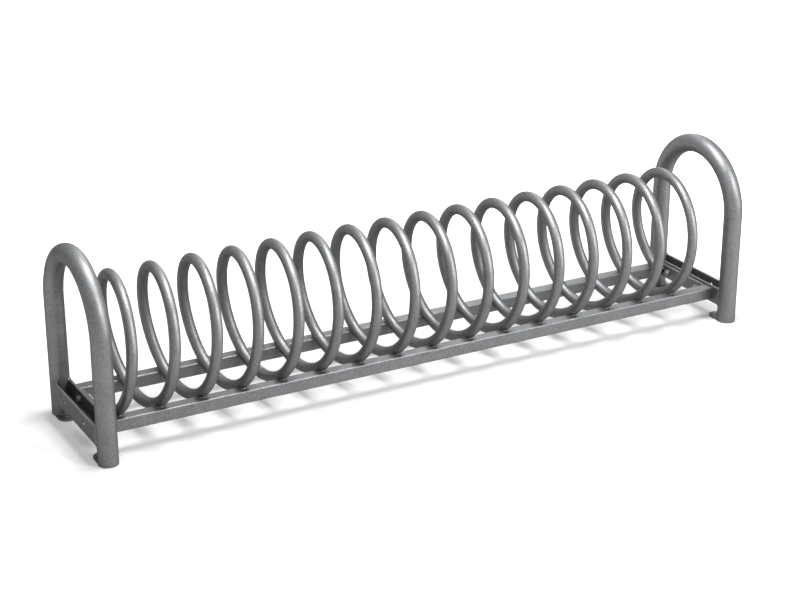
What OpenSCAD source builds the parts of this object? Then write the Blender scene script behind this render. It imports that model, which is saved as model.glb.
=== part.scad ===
// Bicycle parking stand. A steel tube is wound into a long coil, let into two ground rails and welded
// to them. An end bar joins the rails at each end, and is bolted to the channel of an arched end frame.
// Sizes are in millimetres and +Z is up. The origin is on the ground under the middle of the stand,
// +X runs along the rails to the right end and +Y points to the back.

/* [Coil] */
// Number of crests along the coil
crest_count = 16; // [8:1:20]
// Distance from one crest to the next
coil_pitch = 129.7; // [110:0.1:150]
// Radius of the coil at the centre of its tube
coil_r = 198.4; // [180:0.1:206]
// Outside diameter of the coil tube
coil_tube_d = 33.7; // [26.9:0.1:38]
// Wall of the coil tube
coil_wall = 2.6; // [2:0.1:3.6]
// How far the turns reach below the undersides of the rails
coil_drop = 1.5; // [0:0.5:6]
// Degrees wound before the first crest
coil_lead_in = 150; // [142:1:152]
// Degrees wound past the last crest
coil_run_out = 158; // [142:1:160]
// Clear length between the left end bar and the start of the coil
start_clear = 6.3; // [4:0.1:30]
// Clear length between the right end bar and the end of the coil
end_clear = 18.5; // [17:0.5:40]

/* [Rails] */
// Width of a rail
rail_w = 40; // [30:1:50]
// Height of a rail
rail_h = 40; // [34:1:46]
// Wall of a rail
rail_wall = 3; // [2:0.5:4]
// Outside corner radius of a rail
rail_corner_r = 4; // [2:0.5:6]
// Height of the undersides of the rails above the ground
rail_ground = 66; // [50:1:90]
// How far each notch reaches across the top of a rail
notch_reach = 18.5; // [14:0.5:22]
// Gap between the coil tube and its notch
notch_clear = 0.4; // [0.2:0.1:0.8]
// Thickness of an end bar
bar_t = 12; // [8:1:16]

/* [End frames] */
// Outside diameter of the hoop tube
hoop_tube_d = 60.3; // [57:0.1:70]
// Wall of the hoop tube
hoop_wall = 2.9; // [2:0.1:4]
// Distance between the centres of the two legs of a hoop
leg_spacing = 390; // [384:1:440]
// Height of the top of a hoop above the ground
hoop_height = 594; // [560:1:700]
// Width of an end channel over its flanges
channel_w = 56; // [48:1:56]
// Thickness of the flanges of an end channel
channel_flange = 8; // [5:0.5:9]
// Thickness of the web of an end channel
channel_web = 6; // [4:0.5:9]
// Radius between the web and the flanges
channel_root_r = 5; // [2:0.5:8]
// How far an end channel stands above the rails
channel_rise = 6; // [0:1:12]
// How far an end channel reaches below the rails
channel_depth = 11; // [6:1:20]
// Gap left for the weld where a piece meets a leg
weld_gap = 0.2; // [0.1:0.1:0.5]

/* [Feet] */
// Width of a foot lug
lug_w = 56; // [44:1:56]
// Thickness of a foot lug
lug_t = 6; // [4:1:10]
// Distance from the centre of a leg to the anchor hole
lug_reach = 45; // [40:1:60]
// Diameter of an anchor hole
anchor_hole_d = 14; // [9:1:18]

/* [Fasteners] */
// Nominal diameter of the joint bolts
bolt_d = 12; // [8:1:13]
// Diameter of the holes drilled through the channel and the end bar
bolt_hole_d = 14; // [13.5:0.5:15]
// Distance from the inside of a rail to the nearest bolt
bolt_inset = 28.5; // [20:0.5:35]
// Width of the bolt head and of the nut over their flats
hex_flats = 18; // [16:0.5:19]
// Height of a bolt head
head_h = 7.5; // [5:0.1:9]
// Height of a nut
nut_h = 10.8; // [6:0.1:11]
// Outside diameter of a washer
washer_d = 24; // [21:1:26]
// Thickness of a washer
washer_t = 2.5; // [1.5:0.1:3]
// Length of thread that shows past a nut
thread_out = 2.5; // [1:0.1:3]

/* [Hidden] */

// Number of tube lengths that the coil is made of, butt welded under the turns
coil_sections = 4;
// Angle between two rings of the coil's mesh
ring_step = 15;
// Sides of the coil's bore, and half the sides of its outside
bore_sides = 6;
// Clearance of the thread in a nut, on the diameter
thread_clear = 0.2;
// Clearance of the bolt in a washer, on the diameter
washer_clear = 1;
// Length by which a cutter stands clear of what it cuts
over = 1;
// Smoothness of round shapes
$fn = 72;

coil_tube_r = coil_tube_d / 2;
coil_outer_r = coil_r + coil_tube_r;
coil_z = rail_ground - coil_drop + coil_outer_r;
coil_angle = coil_lead_in + (crest_count - 1) * 360 + coil_run_out;
coil_length = coil_pitch * coil_angle / 360;

rail_top = rail_ground + rail_h;
notch_y = sqrt(pow(coil_outer_r, 2) - pow(coil_z - rail_top, 2));
rail_inner_y = notch_y - notch_reach;
rail_centre_y = rail_inner_y + rail_w / 2;
notch_angle = 180 - (asin(notch_y / coil_outer_r) + asin(rail_inner_y / coil_outer_r)) / 2;

frame_to_start = channel_w / 2 + bar_t + start_clear + coil_tube_r;
frame_to_end = channel_w / 2 + bar_t + end_clear + coil_tube_r;
hoop_x = (frame_to_start + coil_length + frame_to_end) / 2;
channel_x = hoop_x - channel_w / 2;
first_crest_x = frame_to_start - hoop_x + coil_pitch * coil_lead_in / 360;

leg_y = leg_spacing / 2;
bend_z = hoop_height - hoop_tube_d / 2 - leg_y;
coped_r = hoop_tube_d / 2 + weld_gap;
channel_z = rail_ground - channel_depth;
channel_h = channel_depth + rail_h + channel_rise;
bolt_y = rail_inner_y - bolt_inset;
bolt_z = rail_ground + rail_h / 2;
bolt_length = washer_t + channel_flange + bar_t + washer_t + nut_h + thread_out;

// The facets of the tube's outside touch its true circle at their corners, and its bore is
// drawn so that the faceted wall holds as much steel as the round one.
wall_area = PI * (pow(coil_tube_r, 2) - pow(coil_tube_r - coil_wall, 2));
outside_area = bore_sides * pow(coil_tube_r, 2) * sin(180 / bore_sides);
bore_corner_r = sqrt((outside_area - wall_area) * 2 / (bore_sides * sin(360 / bore_sides)));

// Finishes: silver-grey powder coat, and zinc plate on the fasteners
coat = [0.50, 0.51, 0.52];
zinc = [0.66, 0.67, 0.68];

// The coil's angle is 0 at the first crest. It turns over the top towards the back.
function coil_point(angle) = [
    first_crest_x + coil_pitch * angle / 360,
    coil_r * sin(angle),
    coil_z + coil_r * cos(angle)
];

function coil_direction(angle) =
    let (run = [coil_pitch / (2 * PI), coil_r * cos(angle), -coil_r * sin(angle)])
    run / norm(run);

function coil_outward(angle) = [0, sin(angle), cos(angle)];

function coil_sideways(angle) = cross(coil_direction(angle), coil_outward(angle));

// Corners of one ring of the tube
function coil_ring(angle, radius, sides) = [
    for (i = [0 : sides - 1])
        let (turn = 360 * i / sides)
        coil_point(angle) + radius * (cos(turn) * coil_outward(angle) + sin(turn) * coil_sideways(angle))
];

// Where section k of the coil starts: under a turn, or at the coil's own ends
function section_start(k) =
    k == 0 ? -coil_lead_in
    : k == coil_sections ? (crest_count - 1) * 360 + coil_run_out
    : (round(k * crest_count / coil_sections) - 1) * 360 + 180;

// Angles of the rings between two angles, on whole steps except at the ends
function ring_angles(from, to) = concat(
    [from],
    [for (k = [floor(from / ring_step) + 1 : ceil(to / ring_step) - 1]) k * ring_step],
    [to]
);

// The least gap between a turn and the next one, measured over one whole turn
function least_turn_gap() = min([
    for (a = [0 : ring_step : 360])
        for (b = [a + 300 : ring_step : a + 420])
            norm(coil_point(a) - coil_point(b))
]) - coil_tube_d;

echo("Least gap between neighbouring turns of the coil, in mm", least_turn_gap());

module coil_section(k) {
    angles = ring_angles(section_start(k), section_start(k + 1));
    last = len(angles) - 1;
    outer = 2 * bore_sides;
    // Points: the outside rings one after the other, then the bore's rings
    points = concat(
        [for (a = angles) each coil_ring(a, coil_tube_r, outer)],
        [for (a = angles) each coil_ring(a, bore_corner_r, bore_sides)]
    );
    bore = outer * (last + 1);
    outside_faces = [
        for (j = [0 : last - 1], i = [0 : outer - 1])
            let (a = j * outer + i, b = j * outer + (i + 1) % outer, c = b + outer, d = a + outer)
            each [[a, d, c], [a, c, b]]
    ];
    bore_faces = [
        for (j = [0 : last - 1], i = [0 : bore_sides - 1])
            let (
                a = bore + j * bore_sides + i,
                b = bore + j * bore_sides + (i + 1) % bore_sides,
                c = b + bore_sides,
                d = a + bore_sides
            )
            each [[a, b, c], [a, c, d]]
    ];
    // An end face runs from each side of the bore to the two sides of the outside beyond it
    end_faces = [
        for (j = [0, last], i = [0 : bore_sides - 1])
            let (
                a = bore + j * bore_sides + i,
                b = bore + j * bore_sides + (i + 1) % bore_sides,
                p = j * outer + 2 * i,
                q = p + 1,
                r = j * outer + (2 * i + 2) % outer
            )
            each (j == 0
                ? [[a, p, q], [a, q, b], [b, q, r]]
                : [[a, q, p], [a, b, q], [b, r, q]])
    ];
    color(coat)
        polyhedron(points = points, faces = concat(outside_faces, bore_faces, end_faces));
}

// A cutter of the tube's own shape, laid along the coil where it meets a rail
module notch_cutter(angle) {
    run = coil_direction(angle);
    translate(coil_point(angle))
        rotate([0, acos(run[2]), atan2(run[1], run[0])])
            cylinder(r = coil_tube_r + notch_clear, h = 3 * coil_tube_d, center = true);
}

// Outline of a rail, seen along the stand
module rail_outline() {
    w = rail_w - 2 * rail_corner_r;
    h = rail_h - 2 * rail_corner_r;
    difference() {
        union() {
            square([rail_w, h], center = true);
            square([w, rail_h], center = true);
            for (x = [-w / 2, w / 2], y = [-h / 2, h / 2])
                translate([x, y]) circle(r = rail_corner_r);
        }
        square([rail_w - 2 * rail_wall, rail_h - 2 * rail_wall], center = true);
    }
}

// side is -1 for the front rail and 1 for the back rail
module rail(side) {
    color(coat)
        difference() {
            translate([-channel_x, side * rail_centre_y, bolt_z])
                rotate([90, 0, 90])
                    linear_extrude(2 * channel_x) rail_outline();
            for (n = [0 : crest_count - 1])
                notch_cutter(n * 360 + side * notch_angle);
        }
}

// end is -1 for the left end and 1 for the right end
module end_bar(end) {
    color(coat)
        difference() {
            translate([end * (channel_x - bar_t / 2), 0, bolt_z])
                cube([bar_t, 2 * rail_inner_y, rail_h], center = true);
            bolt_holes(end, bar_t + 2 * over, channel_x - bar_t / 2);
        }
}

// A hole or rod on each bolt axis of an end, centred at a distance from the middle of the stand
module bolt_holes(end, length, x) {
    for (y = [-bolt_y, bolt_y])
        translate([end * x, y, bolt_z])
            rotate([0, 90, 0])
                cylinder(d = bolt_hole_d, h = length, center = true);
}

module hoop(end) {
    bore_d = hoop_tube_d - 2 * hoop_wall;
    color(coat)
        translate([end * hoop_x, 0, 0])
            union() {
                for (y = [-leg_y, leg_y])
                    translate([0, y, 0])
                        difference() {
                            cylinder(d = hoop_tube_d, h = bend_z);
                            translate([0, 0, -over]) cylinder(d = bore_d, h = bend_z + 2 * over);
                        }
                translate([0, 0, bend_z])
                    rotate([90, 0, 90])
                        rotate_extrude(angle = 180)
                            translate([leg_y, 0])
                                difference() {
                                    circle(d = hoop_tube_d);
                                    circle(d = bore_d);
                                }
            }
}

// Outline of an end channel, seen along its length, with its web at the bottom
module channel_outline() {
    slot_w = channel_w - 2 * channel_flange;
    root_x = slot_w / 2 - channel_root_r;
    difference() {
        translate([-channel_w / 2, 0]) square([channel_w, channel_h]);
        translate([-root_x, channel_web]) square([2 * root_x, channel_h]);
        translate([-slot_w / 2, channel_web + channel_root_r]) square([slot_w, channel_h]);
        for (x = [-root_x, root_x])
            translate([x, channel_web + channel_root_r]) circle(r = channel_root_r);
    }
}

module end_channel(end) {
    color(coat)
        difference() {
            translate([end * hoop_x, leg_y, channel_z])
                rotate([90, 0, 0])
                    linear_extrude(leg_spacing) channel_outline();
            for (y = [-leg_y, leg_y])
                translate([end * hoop_x, y, channel_z - over])
                    cylinder(r = coped_r, h = channel_h + 2 * over);
            bolt_holes(end, channel_w + 2 * over, hoop_x);
        }
}

// A flat lug on the inner side of a leg, with the hole for its ground anchor
module foot_lug(end, side) {
    hole_y = leg_y - lug_reach;
    color(coat)
        translate([end * hoop_x, 0, 0])
            linear_extrude(lug_t)
                difference() {
                    union() {
                        translate([0, side * hole_y]) circle(d = lug_w);
                        translate([0, side * (hole_y + leg_y) / 2])
                            square([lug_w, lug_reach], center = true);
                    }
                    translate([0, side * leg_y]) circle(r = coped_r);
                    translate([0, side * hole_y]) circle(d = anchor_hole_d);
                }
}

// Places its children on both bolt axes of an end, at a distance from the middle of the stand.
// Their +Z points from the channel to the rails.
module on_bolts(end, x) {
    for (y = [-bolt_y, bolt_y])
        translate([end * x, y, bolt_z])
            rotate([0, -end * 90, 0])
                children();
}

module hexagon_prism(height) {
    cylinder(d = hex_flats / cos(30), h = height, $fn = 6);
}

module bolts(end) {
    head_x = channel_x + channel_flange + washer_t;
    color(zinc)
        on_bolts(end, head_x)
            union() {
                translate([0, 0, -head_h]) hexagon_prism(head_h);
                cylinder(d = bolt_d, h = bolt_length);
            }
}

module washer() {
    difference() {
        cylinder(d = washer_d, h = washer_t);
        translate([0, 0, -over]) cylinder(d = bolt_d + washer_clear, h = washer_t + 2 * over);
    }
}

module washers(end) {
    color(zinc) {
        on_bolts(end, channel_x + channel_flange + washer_t) washer();
        on_bolts(end, channel_x - bar_t) washer();
    }
}

module nuts(end) {
    color(zinc)
        on_bolts(end, channel_x - bar_t - washer_t)
            difference() {
                hexagon_prism(nut_h);
                translate([0, 0, -over]) cylinder(d = bolt_d + thread_clear, h = nut_h + 2 * over);
            }
}

hoop(-1);  // left_hoop
hoop(1);  // right_hoop
foot_lug(-1, -1);  // left_front_foot
foot_lug(-1, 1);  // left_back_foot
foot_lug(1, -1);  // right_front_foot
foot_lug(1, 1);  // right_back_foot
end_channel(-1);  // left_channel
end_channel(1);  // right_channel
end_bar(-1);  // left_end_bar
end_bar(1);  // right_end_bar
rail(-1);  // front_rail
rail(1);  // back_rail
coil_section(0);  // coil_section_1
coil_section(1);  // coil_section_2
coil_section(2);  // coil_section_3
coil_section(3);  // coil_section_4
bolts(-1);  // left_bolts
bolts(1);  // right_bolts
washers(-1);  // left_washers
washers(1);  // right_washers
nuts(-1);  // left_nuts
nuts(1);  // right_nuts
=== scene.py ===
"""Looks of a bicycle parking stand.

A steel tube is wound into a long coil, let into two ground rails and welded to them. Arched end frames
carry the rails, and joint bolts hold the end bars of the rails to the channels of the frames. Everything
has a silver-grey powder coat, apart from the zinc-plated fasteners and the bare steel bores of the coil
and the end frames, whose colour is darkened to near black as painted shade inside the tubes.

Lengths are in metres. +X runs along the rails, +Y points to the back and +Z is up.
"""

import logging
import math
from collections.abc import Callable, Iterable, Sequence
from dataclasses import dataclass, field
from enum import Enum
from typing import Any

import bmesh
import bpy
from bmesh.types import BMesh, BMVert
from bpy.types import ID, Material, Node, NodeSocket, NodeTree, Object
from mathutils import Euler, Matrix, Vector

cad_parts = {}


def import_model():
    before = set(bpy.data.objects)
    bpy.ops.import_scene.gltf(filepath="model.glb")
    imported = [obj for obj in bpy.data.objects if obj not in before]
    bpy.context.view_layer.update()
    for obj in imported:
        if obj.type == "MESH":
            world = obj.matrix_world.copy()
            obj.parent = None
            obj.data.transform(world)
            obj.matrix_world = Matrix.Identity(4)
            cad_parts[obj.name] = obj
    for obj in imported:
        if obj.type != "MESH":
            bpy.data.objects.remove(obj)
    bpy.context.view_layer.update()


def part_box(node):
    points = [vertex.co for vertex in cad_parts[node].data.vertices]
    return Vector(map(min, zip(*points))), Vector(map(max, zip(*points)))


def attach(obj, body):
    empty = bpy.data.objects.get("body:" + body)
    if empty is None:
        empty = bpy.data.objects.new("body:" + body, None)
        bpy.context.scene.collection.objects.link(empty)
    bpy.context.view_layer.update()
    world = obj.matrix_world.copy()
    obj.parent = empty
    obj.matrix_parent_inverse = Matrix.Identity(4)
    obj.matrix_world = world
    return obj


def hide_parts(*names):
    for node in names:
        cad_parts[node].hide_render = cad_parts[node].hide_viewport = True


log = logging.getLogger("stand")

FULL_TURN = 2 * math.pi
ALONG = Vector((1, 0, 0))
UP = Vector((0, 0, 1))
NOISE_MIDDLE = 0.5

# The lowest and the highest corner of a box.
Box = tuple[Vector, Vector]
# The corners of a flat shape, in order.
Outline = list[tuple[float, float]]
# Gives the radius and the height of a turned ring at an angle about its axis.
Ring = Callable[[float], tuple[float, float]]


class Slot(Enum):
    """Material slots of the part's record."""

    COAT = "coat"
    ZINC = "zinc"


class End(Enum):
    """The two ends of the stand, as the sign of their X."""

    LEFT = -1
    RIGHT = 1

    @property
    def label(self) -> str:
        """The word that the frame's node names start with."""
        return self.name.lower()


class Side(Enum):
    """The two long sides of the stand, as the sign of their Y."""

    FRONT = -1
    BACK = 1

    @property
    def label(self) -> str:
        """The word that the frame's node names hold."""
        return self.name.lower()


class Group(Enum):
    """Kinds of node groups."""

    GEOMETRY = "GeometryNodeTree"
    SHADER = "ShaderNodeTree"


class Socket(Enum):
    """Kinds of inputs and outputs of a node group."""

    GEOMETRY = "NodeSocketGeometry"
    NUMBER = "NodeSocketFloat"
    WHOLE = "NodeSocketInt"
    VECTOR = "NodeSocketVector"
    TURN = "NodeSocketRotation"
    MATERIAL = "NodeSocketMaterial"
    OBJECT = "NodeSocketObject"


class Wiring:
    """Adds nodes to a node tree, and joins them, with short calls."""

    def __init__(self, tree: NodeTree, inputs: Node | None = None) -> None:
        """Takes a tree over.

        Args:
            tree: the tree that the nodes go into.
            inputs: the node that gives a group's own inputs, in a group.
        """
        self.tree = tree
        self.inputs = inputs

    @classmethod
    def group(cls, name: str, kind: Group, sockets: Sequence[tuple[str, Socket, Any]]) -> "Wiring":
        """Starts a node group.

        Args:
            name: the group's name.
            kind: which nodes it holds.
            sockets: name, kind and default of each input, the default None where it has none.

        Returns:
            The wiring of the new group, which has no outputs yet.
        """
        tree = bpy.data.node_groups.new(name, kind.value)
        for label, socket, default in sockets:
            made = tree.interface.new_socket(label, in_out="INPUT", socket_type=socket.value)
            if default is not None:
                made.default_value = default
        return cls(tree, tree.nodes.new("NodeGroupInput"))

    def given(self, name: str) -> NodeSocket:
        """The group's own input of that name, to be used inside it."""
        return self.inputs.outputs[name]

    def add(self, kind: str, values: dict[str | int, Any] | None = None, **settings: Any) -> Node:
        """Adds a node.

        Args:
            kind: the node's type name.
            values: what each input, named or numbered, is set to or joined to.
            settings: properties of the node.

        Returns:
            The new node.
        """
        node = self.tree.nodes.new(kind)
        for name, value in settings.items():
            setattr(node, name, value)
        for key, value in (values or {}).items():
            self.feed(node.inputs[key], value)
        return node

    def take(self, kind: str, values: dict[str | int, Any] | None = None, **settings: Any) -> NodeSocket:
        """Adds a node as add does, and gives its first output."""
        return self.add(kind, values, **settings).outputs[0]

    def feed(self, socket: NodeSocket, value: Any) -> None:
        """Joins a socket to another one, or gives it a plain value.

        Args:
            socket: the input.
            value: an output to join to it, or the plain value.
        """
        if isinstance(value, NodeSocket):
            self.tree.links.new(value, socket)
        else:
            socket.default_value = value

    def math(self, operation: str, first: Any, second: Any = 0.0) -> NodeSocket:
        """The result of a sum, product or other operation on two numbers or sockets."""
        return self.take("ShaderNodeMath", {0: first, 1: second}, operation=operation)

    def result(self, outputs: Sequence[tuple[str, Socket, NodeSocket]]) -> NodeTree:
        """Ends a group.

        Args:
            outputs: name, kind and source of each output.

        Returns:
            The finished group.
        """
        for label, socket, _ in outputs:
            self.tree.interface.new_socket(label, in_out="OUTPUT", socket_type=socket.value)
        end = self.tree.nodes.new("NodeGroupOutput")
        for label, _, source in outputs:
            self.tree.links.new(source, end.inputs[label])
        return self.tree


class GeometryTrees:
    """The geometry node trees that make what repeats or follows a path."""

    BEAD_SIDES = 10
    POINTS_PER_RIPPLE = 4.0
    SAWTOOTH_MIDDLE = 0.5
    WANDER_SCALE = 140.0
    WANDER_DETAIL = 2.0
    NOTCH_SIDES = 48

    def __init__(self) -> None:
        """Builds each tree once."""
        self.swept_tube = self._swept_tube()
        self.coil_tube = self._coil_tube()
        self.weld_bead = self._weld_bead()
        self.row_of_copies = self._row_of_copies()
        self.notched_rail = self._notched_rail()

    @staticmethod
    def _start(name: str, sockets: Sequence[tuple[str, Socket, Any]]) -> Wiring:
        """Starts a tree, with the object's own geometry as first input and its finish as last."""
        ends = [("Geometry", Socket.GEOMETRY, None), ("Finish", Socket.MATERIAL, None)]
        return Wiring.group(name, Group.GEOMETRY, [ends[0], *sockets, ends[1]])

    @staticmethod
    def _finish(wiring: Wiring, geometry: NodeSocket, smooth: bool = True) -> NodeTree:
        """Ends a tree: smooth shading, instances made real, and the finish.

        Args:
            wiring: the tree's wiring.
            geometry: what the tree has made.
            smooth: False where the copies keep their own shading.

        Returns:
            The finished tree.
        """
        if smooth:
            geometry = wiring.take("GeometryNodeSetShadeSmooth", {"Geometry": geometry})
        real = wiring.take("GeometryNodeRealizeInstances", {"Geometry": geometry})
        values = {"Geometry": real, "Material": wiring.given("Finish")}
        finished = wiring.take("GeometryNodeSetMaterial", values)
        return wiring.result([("Geometry", Socket.GEOMETRY, finished)])

    @staticmethod
    def _skin(
        wiring: Wiring, path: NodeSocket, radius: NodeSocket, sides: NodeSocket, capped: bool = False
    ) -> NodeSocket:
        """A round skin along a curve.

        Args:
            wiring: the tree's wiring.
            path: the curve.
            radius: the skin's radius.
            sides: the number of its sides.
            capped: True where its ends are closed.

        Returns:
            The skin's mesh.
        """
        section = wiring.take("GeometryNodeCurvePrimitiveCircle", {"Resolution": sides, "Radius": radius})
        values = {"Curve": path, "Profile Curve": section, "Fill Caps": capped}
        return wiring.take("GeometryNodeCurveToMesh", values)

    @staticmethod
    def _row(
        wiring: Wiring, piece: NodeSocket, count: NodeSocket, step: NodeSocket,
        start: Any = (0, 0, 0), turn: Any = (0, 0, 0),
    ) -> NodeSocket:
        """Copies of a geometry along a straight line.

        Args:
            wiring: the tree's wiring.
            piece: what is copied.
            count: the number of copies.
            step: the way from a copy to the next one.
            start: the place of the first copy.
            turn: how each copy is turned.

        Returns:
            The copies, as instances.
        """
        line = {"Count": count, "Start Location": start, "Offset": step}
        places = wiring.take("GeometryNodeMeshLine", line)
        values = {"Points": places, "Instance": piece, "Rotation": turn}
        return wiring.take("GeometryNodeInstanceOnPoints", values)

    def _swept_tube(self) -> NodeTree:
        """A tube's skin along the curve of the object that holds the tree.

        Returns:
            The tree.
        """
        wiring = self._start("Swept tube", [
            ("Tube Radius", Socket.NUMBER, 0.03),
            ("Sides", Socket.WHOLE, 48),
        ])
        given = wiring.given
        skin = self._skin(wiring, given("Geometry"), given("Tube Radius"), given("Sides"))
        return self._finish(wiring, skin)

    def _coil_tube(self) -> NodeTree:
        """A tube's skin round a line along X. Its angle is 0 at a crest, and grows towards the back.

        Returns:
            The tree.
        """
        wiring = self._start("Coil tube", [
            ("First Crest X", Socket.NUMBER, 0.0),
            ("Pitch", Socket.NUMBER, 0.13),
            ("Coil Radius", Socket.NUMBER, 0.2),
            ("Axis Height", Socket.NUMBER, 0.28),
            ("Start Angle", Socket.NUMBER, 0.0),
            ("End Angle", Socket.NUMBER, FULL_TURN),
            ("Rings", Socket.WHOLE, 100),
            ("Tube Radius", Socket.NUMBER, 0.017),
            ("Sides", Socket.WHOLE, 24),
        ])
        given, math_of = wiring.given, wiring.math
        line = wiring.take("GeometryNodeCurvePrimitiveLine")
        rings = wiring.take("GeometryNodeResampleCurve", {"Curve": line, "Count": given("Rings")})
        share = wiring.add("GeometryNodeSplineParameter").outputs["Factor"]
        swing = math_of("SUBTRACT", given("End Angle"), given("Start Angle"))
        angle = math_of("ADD", math_of("MULTIPLY", share, swing), given("Start Angle"))
        travel = math_of("DIVIDE", math_of("MULTIPLY", angle, given("Pitch")), FULL_TURN)
        reach = math_of("MULTIPLY", math_of("SINE", angle), given("Coil Radius"))
        rise = math_of("MULTIPLY", math_of("COSINE", angle), given("Coil Radius"))
        place = wiring.take("ShaderNodeCombineXYZ", {
            "X": math_of("ADD", given("First Crest X"), travel),
            "Y": reach,
            "Z": math_of("ADD", given("Axis Height"), rise),
        })
        path = wiring.take("GeometryNodeSetPosition", {"Geometry": rings, "Position": place})
        skin = self._skin(wiring, path, given("Tube Radius"), given("Sides"))
        return self._finish(wiring, skin)

    def _weld_bead(self) -> NodeTree:
        """A rippled bead along the curves of the object that holds the tree, and along copies of them.

        Returns:
            The tree.
        """
        wiring = self._start("Weld bead", [
            ("Copies", Socket.WHOLE, 1),
            ("Step", Socket.VECTOR, (0.0, 0.0, 0.0)),
            ("Bead Radius", Socket.NUMBER, 0.003),
            ("Ripple Spacing", Socket.NUMBER, 0.003),
            ("Ripple Depth", Socket.NUMBER, 0.2),
            ("Wander", Socket.NUMBER, 0.3),
            ("Seed", Socket.NUMBER, 7.0),
            ("Sides", Socket.WHOLE, self.BEAD_SIDES),
        ])
        given, math_of = wiring.given, wiring.math
        copies = self._row(wiring, given("Geometry"), given("Copies"), given("Step"))
        seams = wiring.take("GeometryNodeRealizeInstances", {"Geometry": copies})
        spacing = given("Ripple Spacing")
        gap = math_of("DIVIDE", spacing, self.POINTS_PER_RIPPLE)
        fine = wiring.take("GeometryNodeResampleCurve", {"Curve": seams, "Length": gap}, mode="LENGTH")
        along = wiring.add("GeometryNodeSplineParameter").outputs["Length"]
        sawtooth = math_of("FRACT", math_of("DIVIDE", along, spacing))
        ripple = math_of("SUBTRACT", sawtooth, self.SAWTOOTH_MIDDLE)
        values = {"W": given("Seed"), "Scale": self.WANDER_SCALE, "Detail": self.WANDER_DETAIL}
        noise = wiring.take("ShaderNodeTexNoise", values, noise_dimensions="4D")
        drift = math_of("MULTIPLY", math_of("SUBTRACT", noise, NOISE_MIDDLE), given("Wander"))
        depth = math_of("MULTIPLY", ripple, given("Ripple Depth"))
        thickness = math_of("ADD", math_of("ADD", 1.0, depth), drift)
        laid = wiring.take("GeometryNodeSetCurveRadius", {"Curve": fine, "Radius": thickness})
        bead = self._skin(wiring, laid, given("Bead Radius"), given("Sides"), capped=True)
        return self._finish(wiring, bead)

    def _row_of_copies(self) -> NodeTree:
        """A row of copies of a template object.

        Returns:
            The tree.
        """
        wiring = self._start("Row of copies", [
            ("Template", Socket.OBJECT, None),
            ("Count", Socket.WHOLE, 2),
            ("Start", Socket.VECTOR, (0.0, 0.0, 0.0)),
            ("Step", Socket.VECTOR, (0.0, 0.0, 0.0)),
            ("Turn", Socket.TURN, (0.0, 0.0, 0.0)),
        ])
        given = wiring.given
        template = wiring.add("GeometryNodeObjectInfo", {"Object": given("Template")}).outputs["Geometry"]
        copies = self._row(wiring, template, given("Count"), given("Step"), given("Start"), given("Turn"))
        return self._finish(wiring, copies, smooth=False)

    def _notched_rail(self) -> NodeTree:
        """Cuts a row of round notches into the mesh of the object that holds the tree.

        Returns:
            The tree.
        """
        wiring = self._start("Notched rail", [
            ("Cutter Radius", Socket.NUMBER, 0.017),
            ("Cutter Length", Socket.NUMBER, 0.1),
            ("Cutter Turn", Socket.TURN, (0.0, 0.0, 0.0)),
            ("First Notch", Socket.VECTOR, (0.0, 0.0, 0.0)),
            ("Step", Socket.VECTOR, (0.1, 0.0, 0.0)),
            ("Notches", Socket.WHOLE, 16),
        ])
        given = wiring.given
        cutter = wiring.take("GeometryNodeMeshCylinder", {
            "Vertices": self.NOTCH_SIDES,
            "Radius": given("Cutter Radius"),
            "Depth": given("Cutter Length"),
        })
        cutters = self._row(
            wiring, cutter, given("Notches"), given("Step"), given("First Notch"), given("Cutter Turn")
        )
        values = {0: given("Geometry"), 1: cutters}
        cut = wiring.take("GeometryNodeMeshBoolean", values, operation="DIFFERENCE", solver="EXACT")
        return self._finish(wiring, cut)


def join_rings(work: BMesh, first: Sequence[BMVert], second: Sequence[BMVert]) -> None:
    """Joins two rings of as many corners with a band of faces.

    Args:
        work: the mesh.
        first: the corners of one ring.
        second: the corners of the other one, in the same order.
    """
    for k, corner in enumerate(first):
        after = (k + 1) % len(first)
        work.faces.new((corner, first[after], second[after], second[k]))


def arc(centre: tuple[float, float], radius: float, start: float, end: float, steps: int) -> Outline:
    """Points along an arc of a flat outline.

    Args:
        centre: the arc's centre.
        radius: its radius.
        start: the angle of its first point, in degrees.
        end: the angle of its last point, in degrees.
        steps: the number of straight steps.

    Returns:
        The points, both ends included.
    """
    turns = [math.radians(start + (end - start) * k / steps) for k in range(steps + 1)]
    return [(centre[0] + radius * math.cos(a), centre[1] + radius * math.sin(a)) for a in turns]


def towards_front(x: float, y: float, z: float) -> Matrix:
    """The place of a prism with an upright section that runs from here towards the front."""
    return Matrix.Translation((x, y, z)) @ Matrix.Rotation(math.pi / 2, 4, "X")


def even_ring(radius: float, height: float) -> Ring:
    """A round ring of a turned solid, with the same radius and height all the way."""
    return lambda turn: (radius, height)


def rounded_box(half_width: float, half_height: float, radius: float, steps: int) -> Outline:
    """The outline of a box with round corners, about the origin.

    Args:
        half_width: half its width.
        half_height: half its height.
        radius: the radius of its corners.
        steps: the number of straight steps round a corner.

    Returns:
        The outline.
    """
    x, y = half_width - radius, half_height - radius
    corners = [((x, y), 0), ((-x, y), 90), ((-x, -y), 180), ((x, -y), 270)]
    return [point for centre, start in corners for point in arc(centre, radius, start, start + 90, steps)]


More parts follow.
